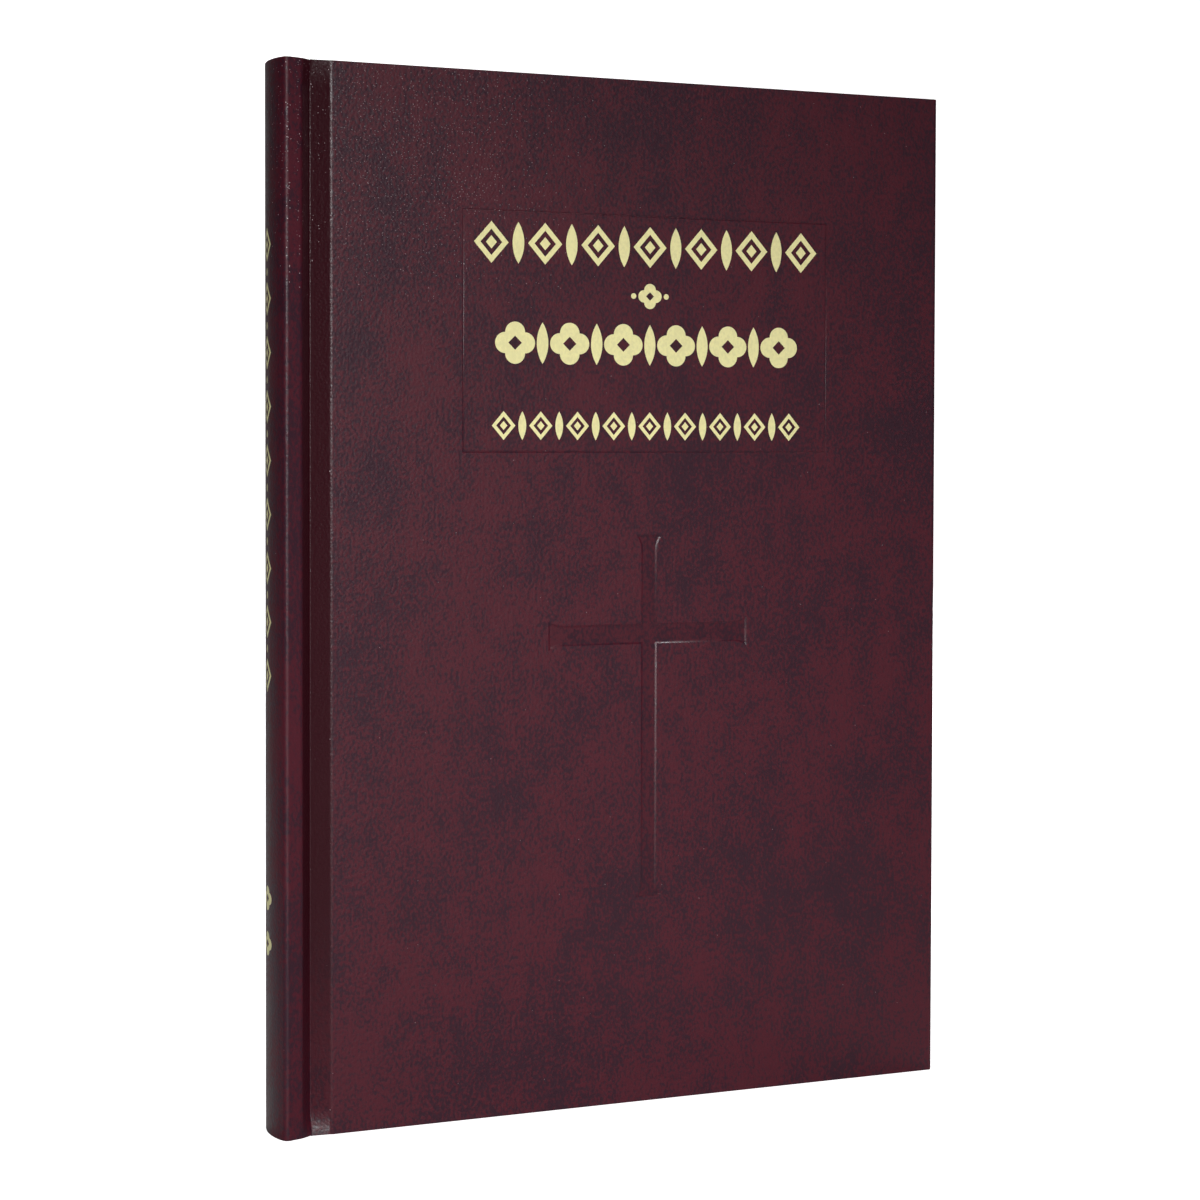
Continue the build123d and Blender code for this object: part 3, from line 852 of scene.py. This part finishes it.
def build_leather():
    """Cover and spine leather."""
    plain = leather("Mottled leather", 0.6, 0.42, 1.0)
    pressed = leather("Pressed leather", 0.3, 0.36, 0.92)
    for side in (FRONT, BACK):
        name = SIDE_NAMES[side]
        piece = cover_leather(side)
        dress(piece, plain)
        if side == FRONT:
            press_cover(piece, pressed)
        smooth(piece, 28)
        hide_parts(f"{name}_leather")
        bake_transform(piece)
    spine = spine_leather()
    dress(spine, plain)
    bed = foil_cutter("spine_foil")
    bed.data.materials.clear()
    bed.data.materials.append(pressed)
    carve(spine, bed)
    smooth(spine, 50)
    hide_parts("spine_leather")
    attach(spine, "spine")


def foil_cutter(node):
    """A copy of a foil node that stands out of the leather, to press its bed."""
    source = frame["nodes"][node]
    cutter = source.copy()
    cutter.data = source.data.copy()
    cutter.parent = None
    cutter.name = f"{node}_bed"
    bpy.context.scene.collection.objects.link(cutter)
    only(cutter)
    bpy.ops.object.mode_set(mode="EDIT")
    bpy.ops.mesh.select_all(action="SELECT")
    bpy.ops.mesh.remove_doubles(threshold=0.001 * MM)
    bpy.ops.object.mode_set(mode="OBJECT")
    if node == "front_foil":
        middle = -(COVER_OUT - 0.05 * MM)
        choose(cutter, "VERT", lambda place: place.y < middle)
        bpy.ops.transform.translate(value=(0, -PRESS_LIFT, 0))
    else:
        middle = SPINE_RADIUS - 0.05 * MM
        choose(cutter, "VERT", lambda place: math.hypot(place.x - SPINE_CENTRE, place.y) > middle)
        bpy.ops.transform.resize(value=(1.02, 1.02, 1), center_override=(SPINE_CENTRE, 0, 0))
    bpy.ops.object.mode_set(mode="OBJECT")
    return cutter


def on_face(across, down):
    """A place just off the front cover's face, from its middle line and its head."""
    sizes = bpy.context.scene.book_sizes
    middle = (HINGE.x + sizes.face_start + FORE_EDGE) / 2
    return (middle + across, -COVER_OUT - PRESS_LIFT, HEAD - down)


def sink(cutter, rings):
    """Step the inner end of a press in and deeper, ring by ring in millimetres, for sloped sides."""
    deepest = max(vertex.co.y for vertex in cutter.data.vertices) - CLOSE
    choose(cutter, "FACE", lambda centre, normal: centre.y > deepest)
    for width, depth in rings:
        bpy.ops.mesh.inset(thickness=width * MM, depth=depth * MM, use_even_offset=True)
    bpy.ops.object.mode_set(mode="OBJECT")


def cross_cutter():
    """The press of the sunk cross: a long Latin cross with flared ends."""
    sizes = bpy.context.scene.book_sizes
    grow = sizes.press_round / 2
    post, bar, end = sizes.cross_post / 2 + grow, sizes.cross_bar / 2 + grow, sizes.cross_end / 2 + grow
    reach = sizes.cross_reach + grow
    top, bottom, level = sizes.cross_top - grow, sizes.cross_bottom + grow, sizes.cross_level
    steps = 4

    def flare(half):
        """Half widths towards an end, as (distance back from the end, half width)."""
        shares = [n / steps for n in range(steps + 1)]
        return [(sizes.cross_flare * (1 - share), half + (end - half) * share**2.2) for share in shares]

    right_top = [(half, top + back) for back, half in reversed(flare(post))]
    right_bar = [(reach - back, level - half) for back, half in flare(bar)]
    right_bar_low = [(reach - back, level + half) for back, half in reversed(flare(bar))]
    right_low = [(half, bottom - back) for back, half in flare(post)]
    right = right_top + [(post, level - bar)] + right_bar + right_bar_low + [(post, level + bar)] + right_low
    outline = right + [(-across, down) for across, down in reversed(right)]
    cutter = solid("cross_press", [on_face(*point) for point in outline], (0, PRESS_DEPTH, 0))
    sink(cutter, CROSS_SLOPE)
    return cutter


def panel_cutter():
    """The press of the line round the gilt rows."""
    sizes = bpy.context.scene.book_sizes
    half = sizes.panel_width / 2
    corners = [(-half, sizes.panel_top), (half, sizes.panel_top), (half, sizes.panel_bottom),
               (-half, sizes.panel_bottom)]
    places = [on_face(*corner) for corner in corners]
    cutter = begin("panel_press", places[0])
    draw(places)
    bpy.ops.mesh.select_all(action="SELECT")
    bpy.ops.mesh.edge_face_add()
    bpy.ops.mesh.inset(thickness=sizes.panel_line)
    bpy.ops.mesh.delete(type="FACE")
    bpy.ops.mesh.select_all(action="SELECT")
    extrude_by((0, PRESS_DEPTH, 0))
    settle(cutter)
    sink(cutter, PANEL_SLOPE)
    return cutter


def press_cover(piece, pressed):
    """Press the cross, the panel line and the beds of the foil into the front leather."""
    for cutter in (cross_cutter(), panel_cutter(), foil_cutter("front_foil")):
        cutter.data.materials.clear()
        cutter.data.materials.append(pressed)
        carve(piece, cutter)


# Leaves


def fold_reach(y):
    """How far left the sides of the folds reach, at a distance from the middle plane."""
    return BLOCK_CENTRE - math.sqrt(BLOCK_RADIUS**2 - y * y) + FOLD_FLARE * SECTION / 2


def bend_columns():
    """Places across the hinge of the leaves, where they need to bend."""
    count = 7
    return [FOLD_RIGHT + (LEAF_LEFT - FOLD_RIGHT) * n / (count - 1) for n in range(count)]


def sheet_line(middle, away, edge):
    """Plan line of one folded sheet: down one leaf, round the fold and back up the other."""
    flared = FOLD_FLARE * middle
    back = fold_reach(flared)
    upper = [(edge, middle + away)] + [(x, middle + away) for x in reversed(bend_columns())]
    fold = []
    steps = 6
    for n in range(steps + 1):
        angle = math.pi / 2 + math.pi * n / steps
        radius = FOLD_FLARE * away
        fold.append((back + radius * math.cos(angle), flared + radius * math.sin(angle)))
    lower = [(x, middle - away) for x in bend_columns()] + [(edge, middle - away)]
    return upper + fold + lower


def build_sections():
    """Every section as nested folded sheets."""
    sizes = bpy.context.scene.book_sizes
    colours = bpy.context.scene.book_colours
    paper = fibrous("Text paper", colours.paper, 40.0, 2200.0, 0.07, 0.85, 0.25)
    uneven = random.Random(7)
    for index in range(SECTION_COUNT):
        middle = -BLOCK_HALF + SECTION * (index + 0.5)
        sheets = []
        for n in range(sizes.sheets):
            away = SECTION * (n + 0.5) / (2 * sizes.sheets)
            edge = PAGE_EDGE - uneven.uniform(0, 0.12) * MM
            sheet = upright_sheet(f"sheet_{index}_{n}", sheet_line(middle, away, edge), PAGE_TAIL, PAGE_HEAD)
            thicken(sheet, sizes.leaf, 0)
            sheets.append(sheet)
        name = f"section_{index + 1}"
        piece = joined(f"{name}_sheets", sheets)
        dress(piece, paper)
        smooth(piece, 40)
        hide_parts(name, f"{name}_fold")
        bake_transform(piece)


def build_endpapers():
    """Pastedowns and flyleaves, folded down into the shoulders."""
    sizes = bpy.context.scene.book_sizes
    colours = bpy.context.scene.book_colours
    paper = fibrous("Endpaper", colours.endpaper, 30.0, 1500.0, 0.1, 0.8, 0.3)
    slope = (FOLD_FLARE - 1) * BLOCK_HALF / (FOLD_RIGHT - fold_reach(FOLD_FLARE * BLOCK_HALF))
    for side in (FRONT, BACK):
        name = SIDE_NAMES[side]
        fly = (FLYLEAF_BOX[0].y + FLYLEAF_BOX[1].y) / -2
        run = 2.2 * MM
        line = [(PAGE_EDGE, fly)] + [(x, fly) for x in reversed(bend_columns())]
        line.append((FOLD_RIGHT - run, fly + slope * run))
        flyleaf = upright_sheet(f"{name}_flyleaf_sheet", [(x, side * y) for x, y in line], PAGE_TAIL, PAGE_HEAD)
        thicken(flyleaf, sizes.endpaper, 0)
        dress(flyleaf, paper)
        smooth(flyleaf, 40)
        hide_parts(f"{name}_flyleaf")
        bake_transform(flyleaf)
        paste = COVER_IN - 0.07 * MM
        line = [(PAGE_EDGE, paste), (HINGE.x + 1.2 * MM, paste), (HINGE.x + 0.9 * MM, paste)]
        line += [(HINGE.x + n * 0.2 * MM, paste) for n in (3, 2, 1, 0, -1)]
        line.append((FOLD_RIGHT - run, fly + 0.2 * MM + slope * run))
        pastedown = upright_sheet(f"{name}_pastedown_sheet", [(x, side * y) for x, y in line], PAGE_TAIL, PAGE_HEAD)
        thicken(pastedown, sizes.endpaper, 0)
        dress(pastedown, paper)
        smooth(pastedown, 40)
        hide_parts(f"{name}_pastedown")
        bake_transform(pastedown)


def build_binding():
    """Materials of the hidden and half-hidden binding pieces."""
    colours = bpy.context.scene.book_colours
    board = fibrous("Millboard", colours.board, 90.0, 1200.0, 0.25, 0.9, 0.5)
    for node in ("front_board", "back_board", "spine_card"):
        dress_node(node, board)
    gauze = woven("Mull", colours.gauze, 900.0, 0.8)
    for node in ("mull", "front_mull_flange", "back_mull_flange"):
        dress_node(node, gauze)
    dress_node("sewing_thread", woven("Linen thread", colours.gauze, 1800.0, 0.7))
    dress_node("spine_lining", fibrous("Kraft lining", colours.kraft, 70.0, 1800.0, 0.2, 0.85, 0.4))
    silk = woven("Headband silk", colours.silk, 1500.0, 0.5)
    for node in ("headband", "tailband"):
        dress_node(node, silk)


def build_gilding():
    """Gold foil."""
    foil = gilt()
    for node in ("front_foil", "spine_foil"):
        dress_node(node, foil)


# Stage


def pale_material():
    """Plain pale floor and backdrop: white in view, but hardly a light on the book."""
    material = bpy.data.materials.new("Pale backdrop")
    material.use_nodes = True
    tree = material.node_tree
    shader = tree.nodes["Principled BSDF"]
    shader.inputs["Base Color"].default_value = (0.8, 0.8, 0.8, 1)
    shader.inputs["Roughness"].default_value = 0.9
    shader.inputs["Emission Color"].default_value = (1, 1, 1, 1)
    seen = tree.nodes.new("ShaderNodeLightPath")
    glow = tree.nodes.new("ShaderNodeMapRange")
    glow.inputs["To Min"].default_value = 0.02
    glow.inputs["To Max"].default_value = 0.95
    tree.links.new(seen.outputs["Is Camera Ray"], glow.inputs["Value"])
    tree.links.new(glow.outputs["Result"], shader.inputs["Emission Strength"])
    return material


def add_light(name, kind, place, target, power):
    """A light aimed at a point. Returns its data."""
    data = bpy.data.lights.new(name, kind)
    data.energy = power
    light = bpy.data.objects.new(name, data)
    bpy.context.scene.collection.objects.link(light)
    light.location = place
    light.rotation_euler = (Vector(target) - Vector(place)).to_track_quat("-Z", "Y").to_euler()
    return data


def build_floor():
    """Pale floor that sweeps up behind the book."""
    bend, back, half = 1.0, 3.0, 6.0
    profile = [(-4.0, 0.0)]
    steps = 12
    for n in range(steps + 1):
        angle = math.pi / 2 * n / steps
        profile.append((back + bend * math.sin(angle), bend * (1 - math.cos(angle))))
    profile.append((back + bend, 6.0))
    floor = begin("floor", (-half, *profile[0]))
    extrude_by((2 * half, 0, 0))
    bpy.ops.mesh.select_all(action="SELECT")
    draw([(0, y, z) for y, z in profile])
    bpy.ops.object.mode_set(mode="OBJECT")
    only(floor)
    bpy.ops.object.transform_apply(location=True, rotation=True, scale=True)
    floor.data.materials.append(pale_material())
    smooth(floor, 60)


def build_stage():
    """Floor, lights, world and camera."""
    build_floor()
    world = bpy.data.worlds.new("Soft studio")
    bpy.context.scene.world = world
    world.use_nodes = True
    world.node_tree.nodes["Background"].inputs["Color"].default_value = (1, 1, 1, 1)
    world.node_tree.nodes["Background"].inputs["Strength"].default_value = 0.025
    centre = (0, 0, HEAD / 2)
    key = add_light("key", "SPOT", (-0.3, -1.6, 0.45), (-0.045, 0, 0.075), 175)
    key.spot_size = math.radians(13)
    key.spot_blend = 1.0
    key.shadow_soft_size = 0.2
    add_light("side", "AREA", (0.85, -1.3, 0.3), centre, 0.55).size = 0.8
    add_light("top", "AREA", (-0.1, -0.5, 1.5), centre, 4).size = 0.8
    add_light("rear", "AREA", (1.0, 1.4, 0.8), centre, 26).size = 0.8
    add_light("back", "AREA", (0.6, 2.2, 1.6), (0, 4, 0.8), 25).size = 2.0
    camera_data = bpy.data.cameras.new("camera")
    camera_data.lens = 69.336
    camera_data.sensor_width = 36
    camera_data.shift_y = -0.08
    camera = bpy.data.objects.new("camera", camera_data)
    bpy.context.scene.collection.objects.link(camera)
    camera.location = (-0.19739, -0.49696, 0.15089)
    level = Matrix.Rotation(math.radians(-21.34), 4, "Z") @ Matrix.Rotation(math.radians(88.614), 4, "X")
    camera.rotation_euler = (level @ Matrix.Rotation(math.radians(0.141), 4, "Z")).to_euler()
    bpy.context.scene.camera = camera
    bpy.context.scene.view_settings.view_transform = "Standard"


class BOOK_OT_leather(bpy.types.Operator):
    """Model the leather of both covers and of the spine"""

    bl_idname = "book.leather"
    bl_label = "Leather"

    def execute(self, context):
        build_leather()
        return {"FINISHED"}


class BOOK_OT_gilding(bpy.types.Operator):
    """Finish the gold foil"""

    bl_idname = "book.gilding"
    bl_label = "Gilding"

    def execute(self, context):
        build_gilding()
        return {"FINISHED"}


class BOOK_OT_sections(bpy.types.Operator):
    """Model the folded sheets of every section"""

    bl_idname = "book.sections"
    bl_label = "Sections"

    def execute(self, context):
        build_sections()
        return {"FINISHED"}


class BOOK_OT_endpapers(bpy.types.Operator):
    """Model the pastedowns and flyleaves"""

    bl_idname = "book.endpapers"
    bl_label = "Endpapers"

    def execute(self, context):
        build_endpapers()
        return {"FINISHED"}


class BOOK_OT_binding(bpy.types.Operator):
    """Finish the boards, gauze, lining, thread and bands"""

    bl_idname = "book.binding"
    bl_label = "Binding"

    def execute(self, context):
        build_binding()
        return {"FINISHED"}


class BOOK_OT_stage(bpy.types.Operator):
    """Set the floor, the lights and the camera"""

    bl_idname = "book.stage"
    bl_label = "Stage"

    def execute(self, context):
        build_stage()
        return {"FINISHED"}


class BOOK_PT_panel(bpy.types.Panel):
    """Sizes, colours and steps of the book"""

    bl_label = "Prayer Book"
    bl_idname = "BOOK_PT_panel"
    bl_space_type = "VIEW_3D"
    bl_region_type = "UI"
    bl_category = "Prayer Book"

    def draw(self, context):
        layout = self.layout
        for settings in (context.scene.book_sizes, context.scene.book_colours):
            for name in settings.__annotations__:
                layout.prop(settings, name)
        for operator in OPERATORS:
            layout.operator(operator.bl_idname)


OPERATORS = (
    BOOK_OT_leather,
    BOOK_OT_gilding,
    BOOK_OT_sections,
    BOOK_OT_endpapers,
    BOOK_OT_binding,
    BOOK_OT_stage,
)
CLASSES = (BookSizes, BookColours, *OPERATORS, BOOK_PT_panel)


def register():
    """Register every class and the scene's settings."""
    for item in CLASSES:
        bpy.utils.register_class(item)
    bpy.types.Scene.book_sizes = PointerProperty(type=BookSizes)
    bpy.types.Scene.book_colours = PointerProperty(type=BookColours)


def unregister():
    """Undo register."""
    del bpy.types.Scene.book_colours
    del bpy.types.Scene.book_sizes
    for item in reversed(CLASSES):
        bpy.utils.unregister_class(item)


def main():
    """Build everything in order."""
    register()
    bpy.ops.book.stage()
    bpy.ops.book.leather()
    bpy.ops.book.gilding()
    bpy.ops.book.sections()
    bpy.ops.book.endpapers()
    bpy.ops.book.binding()


if __name__ == "__main__":
    main()
